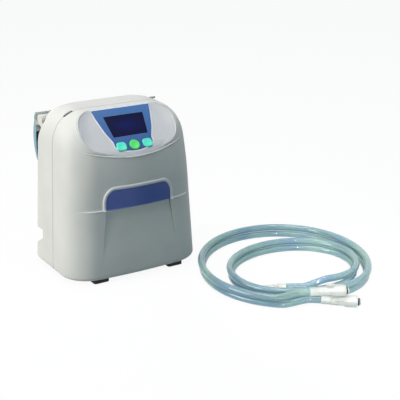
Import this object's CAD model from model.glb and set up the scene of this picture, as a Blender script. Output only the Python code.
"""Looks of the compression therapy pump, built round its CAD frame. Lengths are in metres."""
import math

import bmesh
import bpy
from mathutils import Matrix, Vector


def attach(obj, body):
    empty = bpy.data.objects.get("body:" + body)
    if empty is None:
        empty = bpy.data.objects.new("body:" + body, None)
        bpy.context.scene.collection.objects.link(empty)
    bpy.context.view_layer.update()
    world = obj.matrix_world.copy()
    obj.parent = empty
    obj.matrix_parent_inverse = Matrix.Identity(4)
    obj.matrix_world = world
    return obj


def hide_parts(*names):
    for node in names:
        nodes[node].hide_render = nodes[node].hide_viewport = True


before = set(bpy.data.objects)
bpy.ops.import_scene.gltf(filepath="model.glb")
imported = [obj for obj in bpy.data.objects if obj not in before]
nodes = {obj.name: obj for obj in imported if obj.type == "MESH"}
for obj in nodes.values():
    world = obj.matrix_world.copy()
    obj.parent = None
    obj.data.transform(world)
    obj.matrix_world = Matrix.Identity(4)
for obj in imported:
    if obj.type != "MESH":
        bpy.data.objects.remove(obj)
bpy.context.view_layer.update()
MM = 0.001

# ---- camera ------------------------------------------------------------------

# Place, direction and lens are solved from the housing's outline in the photograph
CAMERA_AT = Vector((-0.5101, -1.0093, 0.4657))
CAMERA_LOOK = Vector((0.5014, 0.8019, -0.3248))
camera_data = bpy.data.cameras.new("camera")
camera_data.lens = 86.87
camera_data.sensor_width = 36
camera = bpy.data.objects.new("camera", camera_data)
camera.location = CAMERA_AT
camera.rotation_euler = CAMERA_LOOK.to_track_quat("-Z", "Y").to_euler()
bpy.context.scene.collection.objects.link(camera)
bpy.context.scene.camera = camera
bpy.context.scene.view_settings.view_transform = "Standard"


# ---- small tools ---------------------------------------------------------------

def clamp01(v):
    return min(max(v, 0.0), 1.0)


def mix(a, b, t):
    return a + (b - a) * t


def smooth(t):
    c = clamp01(t)
    return c * c * (3 - 2 * c)


def show(bm, name, material, body="housing", replaces=(), sharp=32):
    """Makes a finished piece of a bmesh, smooth but for edges sharper than an angle."""
    mesh = bpy.data.meshes.new(name)
    bm.to_mesh(mesh)
    bm.free()
    piece = bpy.data.objects.new(name, mesh)
    bpy.context.scene.collection.objects.link(piece)
    mesh.materials.append(material)
    mesh.shade_smooth()
    mesh.set_sharp_from_angle(angle=math.radians(sharp))
    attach(piece, body)
    if replaces:
        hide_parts(*replaces)
    return piece


def rings(rows, loop=False):
    """A grid bent round closed rings of points. Its ends are filled, or joined in a loop."""
    across, up = len(rows[0]), len(rows) if loop else len(rows) - 1
    bm = bmesh.new()
    bmesh.ops.create_grid(bm, x_segments=across, y_segments=up, size=1)
    for v in bm.verts:
        i = round((v.co.x + 1) / 2 * across) % across
        j = round((v.co.y + 1) / 2 * up)
        v.co = rows[j % len(rows)][i]
    bmesh.ops.remove_doubles(bm, verts=bm.verts, dist=1e-7)
    edges = [e for e in bm.edges if e.is_boundary]
    if edges:
        bmesh.ops.holes_fill(bm, edges=edges, sides=0)
    bmesh.ops.recalc_face_normals(bm, faces=bm.faces)
    return bm


def prism(outline, along):
    """A flat outline pushed along a vector."""
    bm = bmesh.new()
    face = bm.faces.new([bm.verts.new(p) for p in outline])
    pushed = bmesh.ops.extrude_face_region(bm, geom=[face])
    top = [v for v in pushed["geom"] if isinstance(v, bmesh.types.BMVert)]
    bmesh.ops.translate(bm, verts=top, vec=along)
    bmesh.ops.recalc_face_normals(bm, faces=bm.faces)
    return bm


def combine(bm, tool, operation):
    """Cuts or joins two closed bmeshes, and frees the second."""
    made = []
    for source in (bm, tool):
        mesh = bpy.data.meshes.new("work")
        source.to_mesh(mesh)
        source.free()
        piece = bpy.data.objects.new("work", mesh)
        bpy.context.scene.collection.objects.link(piece)
        made.append(piece)
    cut = made[0].modifiers.new("cut", "BOOLEAN")
    cut.solver = "MANIFOLD"
    cut.operation = operation
    cut.object = made[1]
    evaluated = made[0].evaluated_get(bpy.context.evaluated_depsgraph_get())
    result = bmesh.new()
    result.from_mesh(evaluated.to_mesh())
    for piece in made:
        mesh = piece.data
        bpy.data.objects.remove(piece)
        bpy.data.meshes.remove(mesh)
    return result


def carve(bm, *tools):
    """Cuts closed bmeshes out of one, in turn."""
    for tool in tools:
        bm = combine(bm, tool, "DIFFERENCE")
    return bm


def round_edges(bm, width, segments=2, angle=40):
    """Rounds the edges that are sharper than an angle."""
    sharp = [e for e in bm.edges
             if len(e.link_faces) == 2 and e.calc_face_angle(0) > math.radians(angle)]
    bmesh.ops.bevel(bm, geom=sharp, offset=width, offset_type="OFFSET", segments=segments,
                    profile=0.5, affect="EDGES", clamp_overlap=True, material=-1)
    return bm


def cad_copy(name):
    """A merged copy of a CAD node's mesh, with its flat faces whole again."""
    bm = bmesh.new()
    bm.from_mesh(nodes[name].data)
    bmesh.ops.remove_doubles(bm, verts=bm.verts, dist=2e-6)
    bmesh.ops.dissolve_limit(bm, angle_limit=math.radians(0.5), verts=bm.verts, edges=bm.edges)
    return bm


def turned(profile, steps=48):
    """Turns (radius, height) points about the X axis."""
    bm = bmesh.new()
    verts = [bm.verts.new((h * MM, 0, r * MM)) for r, h in profile]
    edges = [bm.edges.new(pair) for pair in zip(verts, verts[1:])]
    bmesh.ops.spin(bm, geom=verts + edges, cent=(0, 0, 0), axis=(1, 0, 0),
                   angle=2 * math.pi, steps=steps, use_merge=True)
    bmesh.ops.remove_doubles(bm, verts=bm.verts, dist=1e-6)
    bmesh.ops.recalc_face_normals(bm, faces=bm.faces)
    return bm


def join(bm, other):
    """Adds another bmesh to one, and frees it."""
    mesh = bpy.data.meshes.new("part")
    other.to_mesh(mesh)
    other.free()
    bm.from_mesh(mesh)
    bpy.data.meshes.remove(mesh)
    return bm


def block(low, high, edge):
    """A box between two corners in mm, with round edges."""
    bm = bmesh.new()
    bmesh.ops.create_cube(bm, size=1)
    size = Vector(high) - Vector(low)
    bmesh.ops.scale(bm, vec=size * MM, verts=bm.verts)
    bmesh.ops.translate(bm, vec=(Vector(low) + size / 2) * MM, verts=bm.verts)
    return round_edges(bm, edge * MM)


# ---- materials ------------------------------------------------------------------

def colour(code):
    """sRGB hex to linear."""
    parts = [int(code[i:i + 2], 16) / 255 for i in (1, 3, 5)]
    return [c / 12.92 if c <= 0.04045 else ((c + 0.055) / 1.055) ** 2.4 for c in parts] + [1.0]


def add(tree, kind, values=None, links=None, **settings):
    """Adds a node: settings are its properties, values its sockets, links what feeds them."""
    made = tree.nodes.new(kind)
    for key, value in settings.items():
        setattr(made, key, value)
    for key, value in (values or {}).items():
        made.inputs[key].default_value = value
    for key, source in (links or {}).items():
        tree.links.new(source, made.inputs[key])
    return made


def start(name, surface):
    """A material with its shader's constants set, and the piece's own coordinates."""
    material = bpy.data.materials.new(name)
    material.use_nodes = True
    tree = material.node_tree
    tree.nodes.clear()
    shader = add(tree, "ShaderNodeBsdfPrincipled", surface)
    add(tree, "ShaderNodeOutputMaterial", links={"Surface": shader.outputs["BSDF"]})
    place = add(tree, "ShaderNodeTexCoord").outputs["Object"]
    return material, tree, shader, place


def vary(tree, place, shader, dark, light, patch, rough, detail=3.0):
    """Slow colour changes over patches of a real size, and a roughness that follows them."""
    cloud = add(tree, "ShaderNodeTexNoise", {"Scale": 1 / patch, "Detail": detail},
                {"Vector": place}).outputs["Fac"]
    blend = add(tree, "ShaderNodeValToRGB", links={"Fac": cloud})
    blend.color_ramp.elements[0].position = 0.3
    blend.color_ramp.elements[0].color = colour(dark)
    blend.color_ramp.elements[1].position = 0.7
    blend.color_ramp.elements[1].color = colour(light)
    tree.links.new(blend.outputs["Color"], shader.inputs["Base Color"])
    spread = add(tree, "ShaderNodeMapRange",
                 {"To Min": rough[0], "To Max": rough[1]}, {"Value": cloud})
    tree.links.new(spread.outputs["Result"], shader.inputs["Roughness"])


def grain(tree, place, shader, size, depth, strength=0.5):
    """Fine bumps of a real size and depth."""
    fine = add(tree, "ShaderNodeTexNoise", {"Scale": 1 / size, "Detail": 2.0}, {"Vector": place})
    bump = add(tree, "ShaderNodeBump", {"Strength": strength, "Distance": depth},
               {"Height": fine.outputs["Fac"]})
    tree.links.new(bump.outputs["Normal"], shader.inputs["Normal"])


def moulded(name, dark, light, rough, size, depth, **surface):
    """A moulded finish: patchy colour over 60 mm and a fine spark-eroded grain."""
    values = {"IOR": 1.53}
    values.update({key.replace("_", " "): v for key, v in surface.items()})
    material, tree, shader, place = start(name, values)
    vary(tree, place, shader, dark, light, 60 * MM, rough)
    grain(tree, place, shader, size, depth)
    return material


# ABS with a spark-eroded grain of 0.3 mm, drawn 0.8 mm wide so that it shows: a soft
# satin that scatters the light and has no hard reflections
abs_grey = moulded("moulded ABS, light grey", "#CFCEC8", "#DAD9D3", (0.46, 0.56), 0.8 * MM, 0.02 * MM,
                   Specular_IOR_Level=0.3)
# The same ABS with a finer, paler skin where the control facet is polished in the mould
abs_facet = moulded("moulded ABS, fine grain", "#D6D6D6", "#E0DFE0", (0.36, 0.44), 0.6 * MM, 0.01 * MM,
                    Specular_IOR_Level=0.3)
# Polypropylene of the hook: a little waxy, so its highlights are wide
pp_teal = moulded("moulded polypropylene, teal", "#6F9AA3", "#83ADB4", (0.32, 0.42),
                  0.8 * MM, 0.015 * MM)
pp_navy = moulded("moulded polypropylene, dark blue", "#14304A", "#1B3B58", (0.34, 0.44),
                  0.8 * MM, 0.015 * MM)
# Natural rubber: black, dull, with a dusty bloom
rubber = moulded("moulded rubber", "#141516", "#202224", (0.72, 0.86), 0.5 * MM, 0.03 * MM)
# Glass-filled nylon of the small inner pieces
nylon_black = moulded("glass-filled nylon, black", "#131416", "#1D1F22", (0.42, 0.56),
                      0.5 * MM, 0.02 * MM)
nylon_white = moulded("nylon, natural white", "#DCDAD0", "#E9E7DE", (0.36, 0.46), 0.6 * MM, 0.01 * MM)
# Acetal of the ports: smooth and a little soapy
acetal = moulded("turned acetal, white", "#DFE0DA", "#ECECE6", (0.26, 0.34), 0.4 * MM, 0.006 * MM)
# Polycarbonate of the connectors: milky, smooth, and light passes a little way in
milky = moulded("moulded polycarbonate, milky", "#E2E5DF", "#EDEFEA", (0.30, 0.38),
                1.5 * MM, 0.01 * MM, Transmission_Weight=0.55)
# Silicone of the keys: clear colour lit through its thickness, with a soft sheen
silicone_aqua = moulded("silicone, aqua", "#58FFD6", "#66FFE6", (0.28, 0.36), 0.5 * MM, 0.006 * MM,
                        Subsurface_Weight=0.25, Subsurface_Scale=0.002)
silicone_green = moulded("silicone, green", "#54F672", "#6CFF8A", (0.28, 0.36), 0.5 * MM, 0.006 * MM,
                         Subsurface_Weight=0.25, Subsurface_Scale=0.002)
# Acrylic of the badge: deep blue under a polished face
acrylic_blue = moulded("cast acrylic, dark blue", "#30509C", "#3858A6", (0.22, 0.30),
                       3 * MM, 0.004 * MM, Specular_IOR_Level=0.35, Coat_Weight=0.15,
                       Coat_Roughness=0.12)
# Varnished copper winding seen through its wrap
winding = moulded("varnished winding", "#6B3E17", "#8A5320", (0.25, 0.35), 0.4 * MM, 0.05 * MM)
# Shrink sleeve of the battery: shiny, thin, slightly wrinkled
sleeve = moulded("shrink sleeve, blue", "#1F4F86", "#2C64A2", (0.18, 0.28), 5 * MM, 0.15 * MM)


def metal(name, dark, light, rough, size, stretch, **surface):
    """A worked metal: fine scratches of a real size, drawn out along one way."""
    values = {"Metallic": 1.0}
    values.update({key.replace("_", " "): v for key, v in surface.items()})
    material, tree, shader, place = start(name, values)
    drawn = add(tree, "ShaderNodeMapping", {"Scale": stretch}, {"Vector": place}).outputs["Vector"]
    vary(tree, drawn, shader, dark, light, size * 6, rough)
    grain(tree, drawn, shader, size, 0.01 * MM, 0.4)
    return material


# Bright zinc plate over steel: bluish, even, with faint wiping marks
zinc_steel = metal("zinc-plated steel", "#A9AEB4", "#C2C6CA", (0.24, 0.36), 0.5 * MM, (1, 1, 0.2))
# Die-cast aluminium as it leaves the die: grey, matt and a little cloudy
cast_aluminium = metal("die-cast aluminium", "#9FA4A8", "#B7BBBE", (0.42, 0.58), 0.9 * MM, (1, 1, 1))
# Painted steel can of the motor
motor_paint = moulded("painted steel, dark", "#33373B", "#40454A", (0.30, 0.40), 0.6 * MM, 0.01 * MM)


def circuit_board():
    """Glass-epoxy board under green solder mask: copper tracks 1 mm wide show as paler bands."""
    material, tree, shader, place = start("solder mask on glass epoxy", {
        "IOR": 1.55, "Coat Weight": 0.3})
    tracks = add(tree, "ShaderNodeTexBrick",
                 {"Scale": 1 / (12 * MM), "Mortar Size": 0.07, "Mortar Smooth": 0.1,
                  "Color1": colour("#1E5B36"), "Color2": colour("#236640"),
                  "Mortar": colour("#3F8A55")},
                 {"Vector": add(tree, "ShaderNodeMapping", {"Rotation": (math.pi / 2, 0, 0)},
                                {"Vector": place}).outputs["Vector"]})
    tree.links.new(tracks.outputs["Color"], shader.inputs["Base Color"])
    grain(tree, place, shader, 0.6 * MM, 0.01 * MM)
    shader.inputs["Roughness"].default_value = 0.32
    return material


def printed_film():
    """Polyester film printed blue on its back: deeper towards the keys, with a fine matt face."""
    low, high = 0.158, 0.200      # heights of the film's lower and upper edge
    material, tree, shader, place = start("printed polyester film", {
        "IOR": 1.55, "Specular IOR Level": 0.3})
    height = add(tree, "ShaderNodeSeparateXYZ", links={"Vector": place}).outputs["Z"]
    fade = add(tree, "ShaderNodeMapRange", {"From Min": low, "From Max": high}, {"Value": height})
    blend = add(tree, "ShaderNodeValToRGB", links={"Fac": fade.outputs["Result"]})
    blend.color_ramp.elements[0].color = colour("#305C9E")
    blend.color_ramp.elements[1].color = colour("#4076B4")
    tree.links.new(blend.outputs["Color"], shader.inputs["Base Color"])
    grain(tree, place, shader, 0.5 * MM, 0.006 * MM)
    shader.inputs["Roughness"].default_value = 0.36
    return material


def display_glass():
    """Acrylic window over a blue display: nearly black at its edge, deep blue in the middle."""
    to_middle = (0, 0.031, -0.181)      # brings the window's middle to the origin
    per_metre = (28, 60, 60)            # 1 over the reach of the glow, on each axis
    material, tree, shader, place = start("acrylic window", {
        "IOR": 1.49, "Specular IOR Level": 0.12, "Roughness": 0.12})
    middle = add(tree, "ShaderNodeMapping", {"Location": to_middle}, {"Vector": place})
    grown = add(tree, "ShaderNodeMapping", {"Scale": per_metre}, {"Vector": middle.outputs["Vector"]})
    away = add(tree, "ShaderNodeTexGradient", links={"Vector": grown.outputs["Vector"]},
               gradient_type="QUADRATIC_SPHERE")
    blend = add(tree, "ShaderNodeValToRGB", links={"Fac": away.outputs["Fac"]})
    blend.color_ramp.elements[0].color = colour("#050B3A")
    blend.color_ramp.elements[1].color = colour("#0A1B66")
    tree.links.new(blend.outputs["Color"], shader.inputs["Base Color"])
    grain(tree, place, shader, 8 * MM, 0.01 * MM, 0.2)
    return material


def woven_strap():
    """Polyester webbing: crossing threads 0.8 mm apart."""
    material, tree, shader, place = start("polyester webbing", {
        "Sheen Weight": 0.3, "Roughness": 0.85})
    weave = add(tree, "ShaderNodeTexChecker", {"Scale": 1 / (0.8 * MM), "Color1": colour("#17181A"),
                                               "Color2": colour("#2B2D30")}, {"Vector": place})
    tree.links.new(weave.outputs["Color"], shader.inputs["Base Color"])
    bump = add(tree, "ShaderNodeBump", {"Strength": 0.5, "Distance": 0.15 * MM},
               {"Height": weave.outputs["Fac"]})
    tree.links.new(bump.outputs["Normal"], shader.inputs["Normal"])
    return material


def soft_tube():
    """Soft PVC tube, blue-green: clear enough that its edges look darker than its middle,
    glossy on top, with faint extrusion waves."""
    material, tree, shader, place = start("extruded PVC, blue-green", {
        "IOR": 1.40, "Transmission Weight": 0.75, "Specular IOR Level": 0.4, "Coat Weight": 0.35,
        "Coat Roughness": 0.05})
    vary(tree, place, shader, "#B6D4E6", "#D6F0E6", 45 * MM, (0.12, 0.20), 1.0)
    grain(tree, place, shader, 6 * MM, 0.08 * MM, 0.35)
    depth = add(tree, "ShaderNodeVolumeAbsorption", {"Color": (0.22, 0.54, 0.64, 1), "Density": 300})
    tree.links.new(depth.outputs["Volume"], tree.nodes["Material Output"].inputs["Volume"])
    return material


tube = soft_tube()
film = printed_film()
glass = display_glass()
board = circuit_board()
webbing = woven_strap()

# ---- the two hoses, on the route of the CAD source --------------------------------

# Millimetres and degrees. Pairs are for the left hose (k = 0) and the right one (k = 1), and u is
# how far round its coil a hose has gone.
HOSE_R = 4.0
HOSE_SKIN = 0.17         # the tubes swell this far into the gap that the CAD leaves between them
HOSE_BORE = 2.7
FLOOR_GAP = 0.2
LAYER = 2 * HOSE_R + 0.4     # height of the right hose over the left
LANE_OUT = (157, -136.5, 112, 99.5, 57.5)     # oval of the first turn: centre, half sizes, tilt
LANE_IN = (159, -152.5, 81, 68, 11)           # oval of the second turn
START_A = -124               # where the coil starts, as an angle on the oval
JOIN_U = (6, 10)             # where the sweep from the connector meets the coil
END_U = (700, 704)           # where the coil ends
CROSS_U, CROSS_W = 285, 70   # start and length of the change to the second oval
# How much the oval grows at its start and later, and over how many degrees
SPREAD_0, SPREAD, SPREAD_W = (-2, 1), (0, 2), 60
BULGE, BULGE_U, BULGE_W = 5, 365, 70     # outward bulge after the change
# How far the coil's end turns inwards, from where, and over how many degrees
INWARD, INWARD_U, INWARD_W = (12, 25), (655, 640), (60, 75)
DROP_U, DROP_W = 676, 30     # where the right hose comes down to the floor
CUFF_R = 6.8
CUFF_AT = ((130.5, -242.0), (113.2, -242.4))
CUFF_AIM = (-39.6, -26.5)
CUFF_RUN = 9                 # straight run of the hose from its connector
CUFF_Z = (FLOOR_GAP + CUFF_R, FLOOR_GAP + 3 * CUFF_R + 0.4)
FITTING_R = 4.4
FITTING_RUN = 20             # straight run from the coil to the fitting
FITTING_Z = FLOOR_GAP + FITTING_R + 0.1
PORT_BORE_R = 3.2


def lane_point(lane, t, g):
    """A point of an oval at an angle, with the oval grown by g."""
    cx, cy, a, b, turn = lane
    x, y = (a + g) * math.cos(math.radians(t - turn)), (b + g) * math.sin(math.radians(t - turn))
    c, s = math.cos(math.radians(turn)), math.sin(math.radians(turn))
    return Vector((cx + x * c - y * s, cy + x * s + y * c))


def coil_point(k, u):
    """The middle of a hose at u."""
    t, w = START_A - u, smooth((u - CROSS_U) / CROSS_W)
    g = (mix(SPREAD_0[k], SPREAD[k], smooth(u / SPREAD_W))
         + BULGE * (1 - smooth(abs(u - BULGE_U) / BULGE_W))
         - INWARD[k] * smooth((u - INWARD_U[k]) / INWARD_W[k]))
    p = lane_point(LANE_OUT, t, g).lerp(lane_point(LANE_IN, t, g), w)
    z = 0 if k == 0 else LAYER * (1 - smooth((u - DROP_U) / DROP_W))
    return Vector((p.x, p.y, FLOOR_GAP + HOSE_R + z))


def flat_dir(a, b):
    """The level direction from one point to another."""
    return Vector((b.x - a.x, b.y - a.y, 0)).normalized()


def coil_dir(k, u):
    """The way a hose goes at u."""
    return flat_dir(coil_point(k, u), coil_point(k, u + 1))


def start_dir(k):
    """The way a hose leaves its connector."""
    aim = math.radians(CUFF_AIM[k])
    return -Vector((math.cos(aim), math.sin(aim), 0))


def end_dir(k):
    """The way a hose goes where its coil ends."""
    return coil_dir(k, END_U[k] - 1)


def start_tip(k):
    """Where a hose starts, at its connector."""
    return Vector((*CUFF_AT[k], CUFF_Z[k]))


def end_tip(k):
    """Where a hose ends, at its fitting."""
    ahead = coil_point(k, END_U[k]) + FITTING_RUN * end_dir(k)
    return ahead.to_2d().to_3d() + Vector((0, 0, FITTING_Z))


def hose_route(k, sweep=12, step=3):
    """Straight out of its connector, in a sweep to the coil, round it and into its fitting."""
    a = start_tip(k) + CUFF_RUN * start_dir(k)
    d = coil_point(k, JOIN_U[k])
    e = coil_point(k, END_U[k])
    h = (d - a).length / 3
    b, c = a + h * start_dir(k), d - h * coil_dir(k, JOIN_U[k])
    curve = [a * (1 - t) ** 3 + b * 3 * t * (1 - t) ** 2 + c * 3 * t * t * (1 - t) + d * t ** 3
             for t in (i / sweep for i in range(sweep))]
    coil = [coil_point(k, u) for u in range(JOIN_U[k], END_U[k] - 1, step)]
    level = Vector((0, 0, FITTING_Z))
    return ([start_tip(k), start_tip(k) + CUFF_RUN / 2 * start_dir(k)] + curve + coil
            + [e, (e + FITTING_RUN / 2 * end_dir(k)).to_2d().to_3d() + level, end_tip(k)])


def hollow_tube(route, outer, inner, around=20):
    """A tube with a bore: its rings go out along the outside and back along the inside."""
    rows = []
    stops = list(range(len(route)))
    for radius, order in ((outer, stops), (inner, stops[::-1])):
        for i in order:
            ahead = route[min(i + 1, len(route) - 1)] - route[max(i - 1, 0)]
            side = Vector((-ahead.y, ahead.x, 0)).normalized()
            up = ahead.normalized().cross(side)
            rows.append([(route[i] + radius * (side * math.cos(t) + up * math.sin(t))) * MM
                         for t in (2 * math.pi * s / around for s in range(around))])
    return rings(rows, loop=True)


def place(bm, at, towards):
    """Moves a piece made along +X to a point, turned to a level direction."""
    turn = Matrix.Rotation(math.atan2(towards.y, towards.x), 4, "Z")
    bmesh.ops.transform(bm, matrix=Matrix.Translation(at * MM) @ turn, verts=bm.verts)
    return bm


def cuff_connector(k):
    """Milky quick connector: ribbed sleeve over the hose, stepped grip, latch and open mouth."""
    bm = turned([(4.2, 0.0), (4.6, 0.2), (4.9, 2), (4.6, 3), (4.9, 5), (4.6, 6), (4.9, 8), (4.6, 9),
                 (4.7, 10), (5.2, 11), (5.2, 13), (5.0, 13.6), (5.2, 14.2), (5.2, 24.6), (5.5, 25.4),
                 (6.5, 27), (6.7, 29), (6.5, 30), (6.7, 31), (6.5, 32), (6.7, 33), (6.5, 34),
                 (CUFF_R, 35.5), (CUFF_R, 39), (6.4, 40.2), (5.6, 40.5), (3.6, 40.5), (3.6, 43.6),
                 (3.2, 44), (2.2, 44), (1.9, 43.6), (1.8, 12), (0.4, 10.5), (0.0, 10.4)])
    side = 90 if k == 0 else 0      # the left connector's latch points sideways
    latch = block((19, -1.7, 4.2), (38, 1.7, 7.2), 0.6)
    join(latch, block((18.5, -2.3, 6.6), (28, 2.3, 8.3), 0.7))
    bmesh.ops.rotate(latch, cent=(0, 0, 0), matrix=Matrix.Rotation(math.radians(side), 3, "X"),
                     verts=latch.verts)
    join(bm, latch)
    return place(bm, start_tip(k), -start_dir(k))


def connector_ring(k):
    """Black ring round the mouth of the connector."""
    inner, low, high = 3.65, 40.9, 42.5
    bm = turned([(inner, low), (4.1, 41.0), (4.4, 41.4), (4.4, 42.0), (4.1, 42.4), (inner, high),
                 (inner, low)])
    return place(bm, start_tip(k), -start_dir(k))


def pump_fitting(k):
    """Plug end for a pump port: a sleeve on the hose, a groove, a flange and a tapered nozzle."""
    n = PORT_BORE_R - 0.1
    bm = turned([(4.18, 0), (4.3, 0.3), (FITTING_R, 1.5), (4.2, 2.4), (FITTING_R, 3.3), (4.2, 4.2),
                 (FITTING_R, 5.1), (FITTING_R, 9), (3.9, 9.4), (3.8, 11.2), (4.2, 12),
                 (FITTING_R, 12.3), (FITTING_R, 13.8), (4.1, 14), (n + 0.2, 14), (n, 14.4), (n, 18),
                 (n - 0.25, 18.3), (n - 0.25, 19.6), (n, 20), (n, 25), (n - 0.5, 26), (2.0, 26),
                 (1.8, 25.7), (1.8, 6), (0, 5)])
    return place(bm, end_tip(k), end_dir(k))


for k, side in enumerate(("left", "right")):
    plug = show(cuff_connector(k), f"quick_connector_{side}", milky,
                replaces=(f"cuff_connector_{side}",))
    seal = show(connector_ring(k), f"connector_ring_{side}", rubber,
                replaces=("connector_seals",))
    fitting = show(pump_fitting(k), f"port_plug_{side}", milky,
                   replaces=(f"pump_fitting_{side}",))
    route = hose_route(k)
    hose = show(hollow_tube(route, HOSE_R + HOSE_SKIN, HOSE_BORE), f"air_hose_{side}", tube,
                replaces=(f"hose_{side}",), sharp=60)

# ---- housing surface, by the same rules as the CAD source ----------------------------

# Millimetres. o is how far a form is moved inwards, and g how far an outline is grown.
BODY_H, BODY_W, BODY_D, BASE_Z, WALL = 200.0, 178.0, 122.0, 4.0, 2.5
FRONT_R, REAR_R, EDGE_R = 33.0, 16.0, 6.0
LEDGE_Z, LEDGE_D, LEDGE_RISE = 90.0, 1.5, 0.9      # place and depth of the ledge, and its height
LEAN_H, SIDE_LEAN, FRONT_LEAN, REAR_LEAN = 130.0, 6.0, 5.5, 4.9      # the walls lean in over LEAN_H
# Where each shoulder starts below the crown, how far it sweeps in, and its exponent
SIDE_SWEEP, FRONT_SWEEP, REAR_SWEEP = (40.3, 37.6, 2.22), (87.4, 20.5, 1.79), (29.6, 19.8, 1.77)
BOW_BASE, BOW_LIP, BOW_CROWN = 3.0, 10.0, 6.0      # forward bow at the base, LIP_Z and the crown
BOW_RISE, BOW_SHAPE = 1.2, 1.5                     # its exponents, over the height and across
BOW_SKIP = 0.35                                    # share of a corner's radius without bow
LEDGE_FADE = 5                                     # the step fades over the outer fifth
LIP_Z = BODY_H - 50
LEDGE_END = LIP_Z - 8                              # where the step over the ledge has faded
PANEL_TILT = math.radians(47)
PANEL_Y, PANEL_Z, PANEL_T = -BODY_D / 2 + 28.8, BODY_H - 20, 2.2
OVAL_A, OVAL_B, OVAL_S = 61.0, 37.0, -5.0
OVAL_FULL_TOP, OVAL_FULL_LOW = 2.8, 2.15           # exponents of the oval's two halves
BADGE_A, BADGE_H, RIM_W, RIM_H = 43.0, 24.0, 3.2, 1.8
ARCH_RX, ARCH_RZ = 12.0, 16.0                      # half sizes of the arch's round shoulders
SCOOP_D, SCOOP_Z, SCOOP_FLARE = 3.5, 32.0, 7.0
HINGE_Y, HINGE_Z, HOOK_LEN = BODY_D / 2 - 17, BODY_H - 18.5, 51.0
CHANNEL_R, EAR_R = 10.7, 7.0
EAR_X0, EAR_X1 = BODY_W / 2 - 27, BODY_W / 2 - 11
GROOVE_TOP, GROOVE_D = 47.0, 30.0
REACH = 200.0            # past the housing, for tools that cut right through
ABOVE = 60.0             # past the housing, measured out from the facet


def sweep_in(z, top, sweep):
    """How far a swept shoulder lies inwards at a height."""
    high, depth, power = sweep
    t = clamp01((z - BODY_H + high) / (top - BODY_H + high))
    return depth * (1 - (1 - t ** power) ** (1 / power))


def edge_in(z, o):
    """How far the round bottom edge lies inwards at a height."""
    u = clamp01((BASE_Z + o + EDGE_R - z) / EDGE_R)
    return EDGE_R * (1 - math.sqrt(1 - u * u))


def half_w(z, o=0.0):
    """Half the housing's width at a height."""
    return (BODY_W / 2 - SIDE_LEAN * (z - BASE_Z) / LEAN_H - sweep_in(z, BODY_H - o, SIDE_SWEEP)
            - edge_in(z, o) - o)


def corner_y(z, o=0.0):
    """Where the front lies at a height, without its bow."""
    return (-BODY_D / 2 + BOW_BASE + FRONT_LEAN * (z - BASE_Z) / LEAN_H
            + sweep_in(z, BODY_H - o, FRONT_SWEEP) + edge_in(z, o) + o)


def rear_y(z, o=0.0):
    """Where the rear face lies at a height."""
    return (BODY_D / 2 - REAR_LEAN * (z - BASE_Z) / LEAN_H - sweep_in(z, BODY_H - o, REAR_SWEEP)
            - edge_in(z, o) - o)


def bow(z):
    """How far the middle of the front bows forward at a height."""
    if z <= LIP_Z:
        return mix(BOW_BASE, BOW_LIP, clamp01((z - BASE_Z) / (LIP_Z - BASE_Z)) ** BOW_RISE)
    return mix(BOW_LIP, BOW_CROWN, (z - LIP_Z) / (BODY_H - LIP_Z))


def step_in(z):
    """The ledge: back over its full width, fading out towards the lip."""
    if z <= LEDGE_Z:
        return 0
    return (LEDGE_D * smooth((z - LEDGE_Z) / LEDGE_RISE)
            * (1 - smooth((z - LEDGE_Z) / (LEDGE_END - LEDGE_Z))))


def front_add(x, z, o=0.0):
    """The ledge's step and the bow together, at a point of the front."""
    u = abs(x) / (half_w(z, o) - BOW_SKIP * (FRONT_R - o))
    step = step_in(z) * clamp01((1 - u) * LEDGE_FADE)
    return step - bow(z) * max(1 - u * u, 0) ** BOW_SHAPE


def corner_r(z, o):
    """Radius of the front corners at a height."""
    return max(min(FRONT_R - o, half_w(z, o) - 1), 1)


def front_at(x, z, o=0.0):
    """Where the housing's front lies at a point seen from the front."""
    r = corner_r(z, o)
    over = min(max(abs(x) - (half_w(z, o) - r), 0), r)
    return corner_y(z, o) + r - math.sqrt(r * r - over * over) + front_add(x, z, o)


def outline(z, o, bow_steps=44, corner_steps=14):
    """The housing's outline at a height, from the left of the front round to its start."""
    a, f, r = half_w(z, o), corner_y(z, o), rear_y(z, o)
    rf, rr = corner_r(z, o), max(min(REAR_R - o, a - 1), 1)
    quarter = [math.radians(90 * i / corner_steps) for i in range(corner_steps + 1)]
    flat = a - rf
    front = [flat * (2 * i / bow_steps - 1) for i in range(1, bow_steps)]
    ring = [(x, f + front_add(x, z, o)) for x in front]
    right = [(a - rf + rf * math.sin(t), f + rf - rf * math.cos(t)) for t in quarter]
    ring += [(x, y + front_add(x, z, o)) for x, y in right]
    ring += [(a - rr + rr * math.cos(t), r - rr + rr * math.sin(t)) for t in quarter]
    ring += [(-a + rr - rr * math.sin(t), r - rr + rr * math.cos(t)) for t in quarter]
    ring += [(-x, y + front_add(x, z, o)) for x, y in reversed(right)]
    return [Vector((x, y, z)) * MM for x, y in ring]


def body(o=0.0):
    """The closed housing form, moved inwards by o."""
    low, high, shoulder = BASE_Z + o, BODY_H - o, BODY_H - 80
    heights = [low + EDGE_R * (1 - math.cos(math.radians(t))) for t in range(0, 91, 10)]
    heights += [16 + o + 6 * i for i in range(12)]
    heights += [LEDGE_Z - 1, LEDGE_Z] + [LEDGE_Z + 0.225 * i for i in range(1, 5)]
    heights += [LEDGE_Z + 3 + 3 * i for i in range(9)]
    heights += [mix(shoulder, high, math.sin(math.radians(t))) for t in range(0, 91, 2)]
    return rings([outline(z, o) for z in heights])


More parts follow.
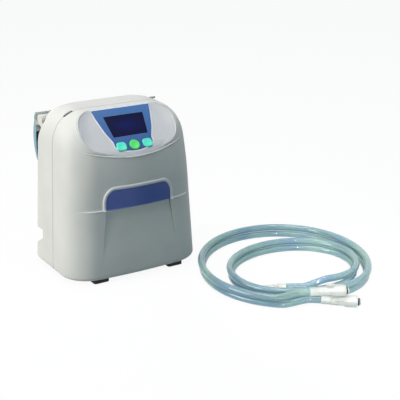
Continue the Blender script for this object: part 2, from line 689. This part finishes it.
def on_panel(x, s, d=0.0):
    """A point across, up and above the control facet."""
    return Vector((x, PANEL_Y + s * math.cos(PANEL_TILT) - d * math.sin(PANEL_TILT),
                   PANEL_Z + s * math.sin(PANEL_TILT) + d * math.cos(PANEL_TILT))) * MM


PANEL_OUT = Vector((0, -math.sin(PANEL_TILT), math.cos(PANEL_TILT)))


def on_facet(outline_2d, low, high):
    """An outline on the facet, pushed from one depth to another."""
    return prism([on_panel(x, s, low) for x, s in outline_2d], PANEL_OUT * (high - low) * MM)


def through_x(profile, x0=-REACH, x1=REACH):
    """A (y, z) profile pushed along X."""
    return prism([Vector((x0, y, z)) * MM for y, z in profile], Vector((x1 - x0, 0, 0)) * MM)


def through_y(profile, y0, y1):
    """An (x, z) profile pushed along Y."""
    return prism([Vector((x, y0, z)) * MM for x, z in profile], Vector((0, y1 - y0, 0)) * MM)


def circle(cx, cy, r, steps=40):
    """A round outline."""
    return [(cx + r * math.cos(t), cy + r * math.sin(t))
            for t in (2 * math.pi * i / steps for i in range(steps))]


def rod_y(x, z, r, y0, y1):
    """A round rod along Y."""
    return through_y(circle(x, z, r), y0, y1)


def oval_outline(g=0.0, steps=96):
    """The recess's outline on the facet, from its right end round over its top."""
    made = []
    for i in range(steps):
        t = 2 * math.pi * i / steps
        power = 2 / (OVAL_FULL_TOP if t < math.pi else OVAL_FULL_LOW)
        c, s = math.cos(t), math.sin(t)
        made.append((math.copysign(abs(c) ** power, c) * (OVAL_A + g),
                     OVAL_S + math.copysign(abs(s) ** power, s) * (OVAL_B + g)))
    return made


def arch_outline(g=0.0, step=6):
    """The badge's outline seen from the front, grown by g."""
    top, shoulder = LEDGE_Z + BADGE_H + g, BADGE_A - ARCH_RX
    rise = [(math.cos(math.radians(t)), math.sin(math.radians(t))) for t in range(0, 91, step)]
    right = [(shoulder + (ARCH_RX + g) * c, top - ARCH_RZ - g + (ARCH_RZ + g) * s) for c, s in rise]
    return ([(-BADGE_A - g, LEDGE_Z - g * 0.2), (BADGE_A + g, LEDGE_Z - g * 0.2)] + right
            + [(-x, z) for x, z in reversed(right)])


def scoop(o=0.0):
    """Tool that hollows the front under the badge: all that lies before the housing's own
    surface, tipped back about the scoop's foot."""
    tip = math.atan(SCOOP_D / (LEDGE_Z - SCOOP_Z))
    foot = Vector((0, front_at(0, SCOOP_Z), SCOOP_Z)) * MM
    top_x, foot_x = BADGE_A + o, BADGE_A + SCOOP_FLARE + o
    tool = through_y([(-top_x, LEDGE_Z + o), (top_x, LEDGE_Z + o), (foot_x, SCOOP_Z - o),
                      (-foot_x, SCOOP_Z - o)], -REACH, -10)
    back = body(o)
    bmesh.ops.rotate(back, cent=foot, matrix=Matrix.Rotation(-tip, 3, "X"), verts=back.verts)
    return carve(tool, back)


def scoop_gap(side, steps=20, foot_z=44):
    """Tool for the thin gap along the scoop's edge, from the badge's corner to near its foot."""
    rows = []
    for t in (i / steps for i in range(steps + 1)):
        z = mix(LEDGE_Z + 0.5, foot_z, t)
        x = BADGE_A + SCOOP_FLARE * (LEDGE_Z - z) / (LEDGE_Z - SCOOP_Z)
        deep = SCOOP_D * (z - SCOOP_Z) / (LEDGE_Z - SCOOP_Z) + 1.2
        y, w = front_at(x, z), mix(0.5, 0.15, t)
        rows.append([Vector((side * (x + a), y + b, z)) * MM
                     for a, b in ((-w, -2), (w, -2), (w, deep), (-w, deep))])
    return rings(rows)


def round_rect(cx, cy, w, h, r, steps=6):
    """The outline of a rectangle with round corners."""
    made = []
    for sx, sy, a0 in ((1, 1, 0), (-1, 1, 90), (-1, -1, 180), (1, -1, 270)):
        for i in range(steps + 1):
            t = math.radians(a0 + 90 * i / steps)
            made.append((cx + sx * (w / 2 - r) + r * math.cos(t),
                         cy + sy * (h / 2 - r) + r * math.sin(t)))
    return made


LIP_RUN = 1.3                    # the recess's lip slants outwards by this much per mm of height
LIP_SHARE, LIP_DEEP = 0.55, 5.0  # the part of the wall that slants, and its limit
LIP_IN, LIP_OUT = 1.5, 14.0      # reach of the cutting tool to both sides of the wall


def recess_depth(x, s, high=45.0, tries=22):
    """How far the housing's surface stands above a point of the facet, 0 outside the housing."""
    low = 0.0
    for i in range(tries):
        d = (low + high) / 2 if i else 0.0
        p = on_panel(x, s, d) / MM
        if p.z < BODY_H and abs(p.x) < half_w(p.z) and p.y > front_at(p.x, p.z):
            low = d
        elif i == 0:
            return 0.0
        else:
            high = d
    return low


def lip_cut(deep):
    """How far down the recess's wall its slanted upper part reaches."""
    return min(LIP_SHARE * deep, LIP_DEEP)


def lip_chamfer():
    """Tool that slants the recess's wall outwards below its lip."""
    rows = []
    for (x, s), (x1, s1) in zip(oval_outline(0, 120), oval_outline(1, 120)):
        deep = recess_depth(x, s)
        low = deep - lip_cut(deep) + (0.0 if deep > 0.5 else 3.0)      # clear of the crown
        rows.append([on_panel(mix(x, x1, g), mix(s, s1, g), low + d)
                     for g, d in ((-LIP_IN, -LIP_IN / LIP_RUN), (LIP_OUT, LIP_OUT / LIP_RUN),
                                  (LIP_OUT, ABOVE), (-LIP_IN, ABOVE))])
    return rings(rows, loop=True)


WALL_IN, WALL_RISE, WALL_SHARE = 12.0, 4.5, 0.45     # width, height, and share of the wall


def recess_wall():
    """The hollow slope from the facet up the recess's wall: widest at the sides, and fading
    out in the lower half."""
    rows = []
    for (x, s), (x1, s1) in zip(oval_outline(0, 160), oval_outline(-1, 160)):
        x1 *= 1 - WALL_IN / OVAL_A
        low_half = clamp01((OVAL_S - s) / OVAL_B)
        high = min(WALL_SHARE * recess_depth(x, s), WALL_RISE) * (1 - low_half)
        slope = [(u, 0.03 + high * u ** 1.7) for u in (0, 0.2, 0.4, 0.6, 0.8, 1)]
        rows.append([on_panel(mix(x1, x, u), mix(s1, s, u), d)
                     for u, d in slope + [(1, -0.4), (0, -0.4)]])
    return combine(rings(rows, loop=True), body(0.05), "INTERSECT")


LIP_LOW, LIP_RISE, LIP_REACH = 150.2, 11.0, 68.0     # height, rise to the sides and half length


def lip_line(x, up=0.0, back=0.1):
    """A point of the crease under the control facet, which sweeps up to both sides."""
    z = LIP_LOW + LIP_RISE * (x / LIP_REACH) ** 2 + up
    return Vector((x, front_at(x, z) + back, z))


KEY_PITCH, KEY_S, KEY_GAP = 17.0, -25.5, 0.35
POWER_KEY_R = 6.4
KEY_W, KEY_H, KEY_CORNER = 12.4, 11.0, 4.0
WINDOW_W, WINDOW_H, WINDOW_S, WINDOW_TAPER = 52.0, 28.0, 1.5, 3.7


def key_outline(i, g=0.0):
    """The outline of key 0, 1 or 2, counted from the left. The middle one is round."""
    x = (i - 1) * KEY_PITCH
    if i == 1:
        return circle(x, KEY_S, POWER_KEY_R + g)
    return round_rect(x, KEY_S, KEY_W + 2 * g, KEY_H + 2 * g, KEY_CORNER + g)


def window_outline(g=0.0):
    """The display's window: narrower at its lower edge."""
    low, high = WINDOW_W / 2 - WINDOW_TAPER + g, WINDOW_W / 2 + g
    return [(-low, WINDOW_S - WINDOW_H / 2 - g), (low, WINDOW_S - WINDOW_H / 2 - g),
            (high, WINDOW_S + WINDOW_H / 2 + g), (-high, WINDOW_S + WINDOW_H / 2 + g)]


PART_GROOVE, PART_GAP, PART_PULL = 1.0, 0.2, 1.2      # half width, clearance and depth


def half(bm, front):
    """Keeps one side of the parting plane, with a small groove along its edge."""
    way = Vector((0, 1 if front else -1, 0))
    for at, clear in ((-PART_GROOVE, False), (-PART_GAP, True)):
        bmesh.ops.bisect_plane(bm, geom=bm.verts[:] + bm.edges[:] + bm.faces[:], dist=1e-7,
                               plane_co=way * at * MM, plane_no=way, clear_outer=clear)
    rim = [v for v in bm.verts if abs(v.co.y - way.y * -PART_GAP * MM) < 1e-6]
    middle = Vector((0, rim[0].co.y, 0.1))
    for v in rim:
        v.co += (middle - v.co).normalized() * PART_PULL * MM
    bmesh.ops.holes_fill(bm, edges=[e for e in bm.edges if e.is_boundary], sides=0)
    bmesh.ops.recalc_face_normals(bm, faces=bm.faces)
    return bm


SLOT_A, SLOT_B = 6.4, 2.7                            # half sizes of a shoulder slot
SLOT_X, SLOT_Z, SLOT_TILT = BODY_W / 2 - 30.5, BODY_H - 7.5, 22


def shoulder_slot(side, low=-6, high=6, less=0.0):
    """The form of a shoulder slot between two depths, smaller all round by less."""
    tool = block((less - SLOT_A, less - SLOT_B, low), (SLOT_A - less, SLOT_B - less, high), 0.4)
    tilt = Matrix.Rotation(math.radians(SLOT_TILT * side), 3, "Y")
    bmesh.ops.rotate(tool, cent=(0, 0, 0), matrix=tilt, verts=tool.verts)
    bmesh.ops.translate(tool, vec=Vector((side * SLOT_X, 0, SLOT_Z)) * MM, verts=tool.verts)
    return tool


def bead(points, radius, around=10):
    """A round bead along points in mm. radius gives its radius at the point of a number."""
    last = len(points) - 1
    rows = []
    for i, p in enumerate(points):
        way = (points[min(i + 1, last)] - points[max(i - 1, 0)]).normalized()
        side = way.cross(Vector((0, -1, 0.2))).normalized()
        out = side.cross(way)
        rows.append([(p + radius(i) * (side * math.cos(t) + out * math.sin(t))) * MM
                     for t in (2 * math.pi * s / around for s in range(around))])
    return rings(rows)


def lip_bead(steps=68, fade_x=48, fade_w=20):
    """The raised crease: full in the middle, fading out at both ends."""
    span = [mix(-LIP_REACH, LIP_REACH, i / steps) for i in range(steps + 1)]
    return bead([lip_line(x) for x in span],
                lambda i: mix(0.9, 0.2, smooth((abs(span[i]) - fade_x) / fade_w)))


def lip_shadow(side, steps=30, x0=34, x1=63):
    """Tool for the small groove over the crease, beside the facet."""
    span = [side * mix(x0, x1, i / steps) for i in range(steps + 1)]
    return bead([lip_line(x, 1.3, 0.0) for x in span],
                lambda i: 0.15 + 0.75 * math.sin(math.pi * i / steps))


SCREWS = [(side * x, z) for side in (-1, 1)
          for x, z in ((BODY_W / 2 - 19, 62), (BODY_W / 2 - 20, BODY_H - 52))]
FRONT_BOSS_R, REAR_BOSS_R, SCREW_BORE_R, HEAD_BORE_R = 4.5, 6.0, 2.3, 4.3
HEAD_SEAT = 12.0         # how far behind the parting plane the screws' heads sit


def front_housing():
    """The front shell: hollow, with the recess, the scoop, the slots and its screw bosses."""
    inside = carve(body(WALL), on_facet(oval_outline(WALL + 3), -PANEL_T, ABOVE), scoop(WALL))
    shell = carve(half(body(), True), inside, on_facet(oval_outline(), 0, ABOVE), lip_chamfer(),
                  scoop(), scoop_gap(-1), scoop_gap(1))
    for opening in [key_outline(i, KEY_GAP) for i in range(3)] + [window_outline(0.1)]:
        shell = carve(shell, on_facet(opening, -PANEL_T - 1, 1))
    for side in (-1, 1):
        shell = carve(shell, shoulder_slot(side), lip_shadow(side))
    for x, z in SCREWS:
        shell = combine(shell, rod_y(x, z, FRONT_BOSS_R, -20, -0.7), "UNION")
    return shell


def round_hinge(r, t):
    """A (y, z) point at a radius and an angle round the hook's hinge."""
    a = math.radians(t)
    return HINGE_Y + r * math.cos(a), HINGE_Z + r * math.sin(a)


def arc(r, t0, t1, n):
    """Points round the hook's hinge, from one angle to another."""
    return [round_hinge(r, mix(t0, t1, i / n)) for i in range(n + 1)]


def hook_recess(o=0.0):
    """Tool for the recess behind the hook and the channel round its hinge."""
    foot, channel = HINGE_Z - HOOK_LEN - 3 - o, CHANNEL_R + o
    return through_x([(REACH, foot), (HINGE_Y + 4 - o, foot), (HINGE_Y + 2 - o, HINGE_Z - 30),
                      (HINGE_Y - 5 - o, HINGE_Z - 14)] + arc(channel, 215, 90, 24)
                     + [(REACH, HINGE_Z + channel)])


def groove(o=0.0):
    """Tool for the groove across the back, whose floor slants down to the rear."""
    y0 = BODY_D / 2 - GROOVE_D - o
    return through_x([(REACH, GROOVE_TOP + o), (y0, GROOVE_TOP + o), (y0, GROOVE_TOP - 11 - 0.8 * o),
                      (y0 + 19.5, GROOVE_TOP - 22 - 0.9 * o), (y0 + 30.5 + o, GROOVE_TOP - 24 - o),
                      (REACH, GROOVE_TOP - 24 - o)])


def rear_housing():
    """The rear shell: hollow, with its screw sleeves, hinge ears, slots, recess and groove."""
    shell = carve(half(body(), False), carve(body(WALL), hook_recess(WALL)))
    for x, z in SCREWS:
        upper = z > BODY_H / 2      # the upper sleeves end at the recess, the lower at the back
        depth = HINGE_Y + 1 if upper else rear_y(z, WALL / 2)
        shell = combine(shell, rod_y(x, z, REAR_BOSS_R, 0.7, depth), "UNION")
    shell = carve(shell, hook_recess())
    for side in (-1, 1):
        x0, x1 = sorted((side * EAR_X0, side * EAR_X1))
        root = [(HINGE_Y - 7, HINGE_Z - 13), round_hinge(12, 203)]
        ear = round_edges(through_x(root + arc(EAR_R, 203, -100, 40), x0, x1), 0.6 * MM)
        shell = carve(combine(shell, ear, "UNION"), shoulder_slot(side))
    shell = carve(shell, groove(WALL + 0.1))
    for x, z in SCREWS:
        shell = carve(shell, rod_y(x, z, SCREW_BORE_R, -1, 100),
                      rod_y(x, z, HEAD_BORE_R, HEAD_SEAT, 100))
    return shell


front = show(front_housing(), "housing_front", abs_grey, replaces=("front_shell",))
front.data.materials.append(abs_facet)
for face in front.data.polygons:      # the facet is the paler, finer skin
    off_facet = abs((face.center - on_panel(0, 0)).dot(PANEL_OUT))
    if face.normal.dot(PANEL_OUT) > 0.999 and off_facet < 1e-5:
        face.material_index = 1
show(rear_housing(), "housing_rear", abs_grey, replaces=("rear_shell",))


def facet_rim():
    """The rolled lip round the oval recess, where the facet lies below the housing's surface."""
    points, sizes = [], []
    steps = 160
    pairs = list(zip(oval_outline(0, steps), oval_outline(1, steps)))
    top = steps // 4      # the oval's top lies outside the housing, so the rim starts there
    for (x, s), (x1, s1) in pairs[top:] + pairs[:top]:
        deep = recess_depth(x, s)
        if deep <= 0:
            continue
        g = lip_cut(deep) * LIP_RUN
        x, s = mix(x, x1, g + 0.4), mix(s, s1, g + 0.4)
        points.append(on_panel(x, s, recess_depth(x, s) - 0.6) / MM)
        sizes.append(0.1 + 0.9 * smooth(deep / 4))
    return bead(points, lambda i: sizes[i])


def badge_rim():
    """The raised round rim over the badge, from the ledge up and round its arch."""
    line = arch_outline(RIM_W / 2 + 0.2)[1:]
    path = line + [(-line[0][0], line[0][1])]
    points = []
    for (x0, z0), (x1, z1) in zip(path, path[1:]):
        steps = max(1, round(math.hypot(x1 - x0, z1 - z0) / 2))
        points += [(mix(x0, x1, i / steps), mix(z0, z1, i / steps)) for i in range(steps)]
    points.append(path[-1])
    rows = []
    last = len(points) - 1
    for i, (x, z) in enumerate(points):
        (xa, za), (xb, zb) = points[max(i - 1, 0)], points[min(i + 1, last)]
        way = Vector((xb - xa, 0, zb - za)).normalized()
        side = Vector((-way.z, 0, way.x))
        row = []
        for t in range(0, 360, 30):
            across, proud = math.cos(math.radians(t)), math.sin(math.radians(t))
            across = math.copysign(abs(across) ** 0.6, across) * (RIM_W / 2 + 0.4)
            proud = proud * (RIM_H if proud > 0 else 2.0)
            here = (x + side.x * across, z + side.z * across)
            row.append(Vector((here[0], front_at(*here) - proud, here[1])) * MM)
        rows.append(row)
    return rings(rows)


def ledge_bead(side, steps=24):
    """Round bead on the ledge, from the badge's rim out to the corner, where it fades."""
    points = []
    for i in range(steps + 1):
        x = mix(BADGE_A + 2, half_w(LEDGE_Z) - 9, i / steps)
        points.append(Vector((side * x, front_at(x, LEDGE_Z) + 0.35, LEDGE_Z - 0.1)))
    return bead(points, lambda i: mix(1.15, 0.35, smooth(i / steps)))


for form, name in ((ledge_bead(-1), "ledge_bead_left"), (ledge_bead(1), "ledge_bead_right"),
                   (facet_rim(), "facet_rim"), (recess_wall(), "recess_wall"),
                   (lip_bead(), "lip_bead"), (badge_rim(), "badge_rim")):
    show(form, name, abs_facet, sharp=60)


def badge_plate():
    """The plate under the rim: it follows the front and stands a little proud of it."""
    profile = [(x, max(z, LEDGE_Z + 0.5)) for x, z in arch_outline(-0.1)]
    plate = carve(through_y(profile, -REACH, -30), body(0.3))
    return combine(plate, body(-1.0), "INTERSECT")


show(badge_plate(), "badge_plate", acrylic_blue, replaces=("badge",))

for side, name in ((-1, "left"), (1, "right")):
    show(shoulder_slot(side, -3.2, 0.4, 0.05), f"slot_insert_{name}", nylon_black)

# ---- controls ---------------------------------------------------------------------

FILM_T = 0.6
KEY_PROUD = 1.2                                   # how far a key stands above the film
KEY_ROLL, KEY_RIM, KEY_DISH = 0.9, 1.2, -0.25     # round edge, flat rim and hollow of its top
FLANGE_TOP, FLANGE_LOW, FLANGE_OUT = -PANEL_T - 0.1, -PANEL_T - 1.1, 1.2
GUIDE_R, GUIDE_END = 2.0, -4.4


def key_cap(i, name, body_name, material):
    """Key with a rolled edge, a shallow dish and its flange and guide below the facet."""
    bm = on_facet(key_outline(i), FLANGE_TOP, FILM_T + KEY_PROUD)
    top = max(bm.faces, key=lambda f: f.calc_center_median().dot(PANEL_OUT))
    bmesh.ops.bevel(bm, geom=list(top.edges), offset=KEY_ROLL * MM, segments=4, profile=0.5,
                    affect="EDGES", clamp_overlap=True, material=-1)
    top = max(bm.faces, key=lambda f: f.calc_center_median().dot(PANEL_OUT))
    bmesh.ops.inset_region(bm, faces=[top], thickness=KEY_RIM * MM)
    bmesh.ops.translate(bm, vec=PANEL_OUT * KEY_DISH * MM, verts=top.verts)
    join(bm, on_facet(key_outline(i, FLANGE_OUT), FLANGE_LOW, FLANGE_TOP))
    join(bm, on_facet(circle((i - 1) * KEY_PITCH, KEY_S, GUIDE_R), GUIDE_END, FLANGE_LOW))
    show(bm, name, material, body=body_name, replaces=(body_name,),
         sharp=50)


for i, (key, finish) in enumerate((("left", silicone_aqua), ("power", silicone_green),
                                   ("right", silicone_aqua))):
    key_cap(i, f"key_{key}", f"button_{key}", finish)


def film_border():
    """White printed border on the facet round the film."""
    inner, outer, low, high = 0.05, 1.7, 0.03, 0.25
    arc_low = [(25.5 * math.cos(math.radians(t)), -21.5 + 11 * math.sin(math.radians(t)))
               for t in range(195, 346, 15)]
    edge = ([(38, 25.5), (-38, 25.5), (-36, 15), (-31, -3.5), (-25, -18)] + arc_low
            + [(25, -18), (31, -3.5), (36, 15)])
    middle = Vector((0, 4))
    rows = []
    for i, here in enumerate(edge):
        a, b, c = Vector(edge[i - 1]), Vector(here), Vector(edge[(i + 1) % len(edge)])
        out = Vector(((c - a).y, -(c - a).x)).normalized()
        out *= 1 if out.dot(b - middle) > 0 else -1
        rows.append([on_panel(*(b + out * w), d)
                     for w, d in ((inner, low), (outer, low), (outer, high), (inner, high))])
    return rings(rows, loop=True)


# Print ink on polyester: chalk white, matt
white_ink = moulded("screen-print ink, white", "#F0F1F3", "#FAFAFB", (0.45, 0.55),
                    0.5 * MM, 0.004 * MM)
show(film_border(), "film_border", white_ink)

# ---- hook ---------------------------------------------------------------------------

KNUCKLE_R = 10.6       # the grey knuckle round the hinge
KNUCKLE_H = 15.0       # it reaches this far below the hinge on the inner side
KNUCKLE_TOP = Vector((0, -0.4, 1))      # the middle of its outer face, seen from the hinge
NAVY_SLOT, GREY_SLOT = 1, 2

knuckle_low = Vector((0, 0, HINGE_Z - KNUCKLE_H)) * MM
hook_form = round_edges(cad_copy("hook"), 0.9 * MM, 3)
bmesh.ops.bisect_plane(hook_form, geom=hook_form.verts[:] + hook_form.edges[:] + hook_form.faces[:],
                       plane_co=knuckle_low, plane_no=(0, 0, 1))
hook = show(hook_form, "bed_hook", pp_teal, body="hook", replaces=("hook",))
hook.data.materials.append(pp_navy)
hook.data.materials.append(abs_grey)
hinge = Vector((0, HINGE_Y, HINGE_Z)) * MM
for face in hook.data.polygons:      # grey knuckle over the hinge, dark inner side of the blade
    away = (face.center - hinge) * Vector((0, 1, 1))
    if away.length < KNUCKLE_R * MM and away.angle(KNUCKLE_TOP, 0) < math.radians(85):
        face.material_index = GREY_SLOT
    elif face.normal.y < -0.2:
        face.material_index = GREY_SLOT if face.center.z > knuckle_low.z else NAVY_SLOT

# ---- CAD nodes that keep their shape, with finer edges where they show -------------------

for name, edge, material in (
        ("foot_front_left", 0.5, rubber), ("foot_front_right", 0.5, rubber),
        ("foot_rear_left", 0.5, rubber), ("foot_rear_right", 0.5, rubber),
        ("power_inlet", 0.3, nylon_black)):
    show(round_edges(cad_copy(name), edge * MM), name + "_finished", material, replaces=(name,))

FINISHES = {
    abs_grey: ("port_panel",), film: ("keypad_overlay",), glass: ("display_lens",),
    board: ("display_board", "main_board"),
    nylon_black: ("lcd_module", "tact_switches", "buzzer", "valve_block", "board_components",
                  "power_supply"),
    zinc_steel: ("display_screws", "hook_pins", "housing_screws", "chassis_screws", "motor_rotor",
                 "head_screws", "board_screws"),
    cast_aluminium: ("base_plate", "pump_frame", "pump_head", "port_nuts"),
    rubber: ("diaphragm", "port_seals"), motor_paint: ("motor_case",),
    nylon_white: ("piston_rod", "air_reservoir", "pressure_sensors"),
    acetal: ("port_left", "port_right"), winding: ("solenoid_left", "solenoid_right"),
    tube: ("pump_tube", "port_tube_left", "port_tube_right"), sleeve: ("battery_pack",),
    webbing: ("battery_strap",)}
for material, names in FINISHES.items():
    for name in names:
        slots = nodes[name].data.materials
        slots.clear()
        slots.append(material)

# ---- floor and light -------------------------------------------------------------------


def background_ray(tree):
    """1 for rays that show the background: seen straight, in a reflection or through clear parts."""
    path = add(tree, "ShaderNodeLightPath").outputs
    mirrored = add(tree, "ShaderNodeMath", operation="MAXIMUM",
                   links={0: path["Is Glossy Ray"], 1: path["Is Transmission Ray"]})
    return add(tree, "ShaderNodeMath", operation="MAXIMUM",
               links={0: path["Is Camera Ray"], 1: mirrored.outputs["Value"]}).outputs["Value"]


def pale_floor():
    """Floor that the camera and reflections see as white, and that still takes a faint shadow."""
    material = bpy.data.materials.new("pale floor")
    material.use_nodes = True
    tree = material.node_tree
    tree.nodes.clear()
    matt = add(tree, "ShaderNodeBsdfDiffuse", {"Color": (0.95, 0.95, 0.95, 1)})
    shaded = add(tree, "ShaderNodeBsdfDiffuse", {"Color": (0.29, 0.35, 0.36, 1)})
    white = add(tree, "ShaderNodeEmission", {"Color": (1, 1, 1, 1), "Strength": 1.0})
    seen = add(tree, "ShaderNodeMixShader", {"Fac": 0.93},
               {1: matt.outputs["BSDF"], 2: white.outputs["Emission"]})
    out = add(tree, "ShaderNodeMixShader", links={
        "Fac": background_ray(tree), 1: shaded.outputs["BSDF"], 2: seen.outputs["Shader"]})
    add(tree, "ShaderNodeOutputMaterial", links={"Surface": out.outputs["Shader"]})
    return material


floor_bm = bmesh.new()
bmesh.ops.create_grid(floor_bm, x_segments=1, y_segments=1, size=8)
bmesh.ops.translate(floor_bm, vec=(0, 0, -0.0002), verts=floor_bm.verts)
floor_mesh = bpy.data.meshes.new("floor")
floor_bm.to_mesh(floor_mesh)
floor_bm.free()
floor = bpy.data.objects.new("floor", floor_mesh)
floor_mesh.materials.append(pale_floor())
bpy.context.scene.collection.objects.link(floor)

world = bpy.data.worlds.new("studio")
bpy.context.scene.world = world
world.use_nodes = True
sky = world.node_tree
sky.nodes.clear()
room = add(sky, "ShaderNodeBackground", {"Color": (0.56, 0.83, 1, 1), "Strength": 0.22})
white = add(sky, "ShaderNodeBackground", {"Color": (1, 1, 1, 1), "Strength": 1.0})
both = add(sky, "ShaderNodeMixShader", links={
    "Fac": background_ray(sky), 1: room.outputs["Background"], 2: white.outputs["Background"]})
add(sky, "ShaderNodeOutputWorld", links={"Surface": both.outputs["Shader"]})


def softbox(name, at, target, size, watts, tint=(1, 1, 1), spread=180):
    """A soft rectangular lamp aimed at a point. spread is its cone in degrees."""
    light = bpy.data.lights.new(name, "AREA")
    light.shape = "RECTANGLE"
    light.size, light.size_y = size
    light.energy = watts
    light.color = tint
    light.spread = math.radians(spread)
    lamp = bpy.data.objects.new(name, light)
    lamp.location = at
    lamp.rotation_euler = (Vector(target) - Vector(at)).to_track_quat("-Z", "Y").to_euler()
    bpy.context.scene.collection.objects.link(lamp)


softbox("left softbox", at=(-1.5, 0.1, 0.6), target=(0, 0, 0.1), size=(1.0, 1.0), watts=21.5,
        tint=(1, 0.96, 0.91))
softbox("top softbox", at=(0.0, -0.05, 1.6), target=(0, -0.05, 0.1), size=(1.3, 1.0), watts=16,
        tint=(1, 0.97, 0.98))
softbox("hose light", at=(-0.35, -1.35, 0.75), target=(0.215, -0.21, 0), size=(0.12, 0.12),
        watts=0.17, spread=14)
softbox("front fill", at=(0.7, -1.7, 0.7), target=(0.05, -0.05, 0.1), size=(1.0, 1.0), watts=0.9,
        tint=(0.62, 0.86, 1))
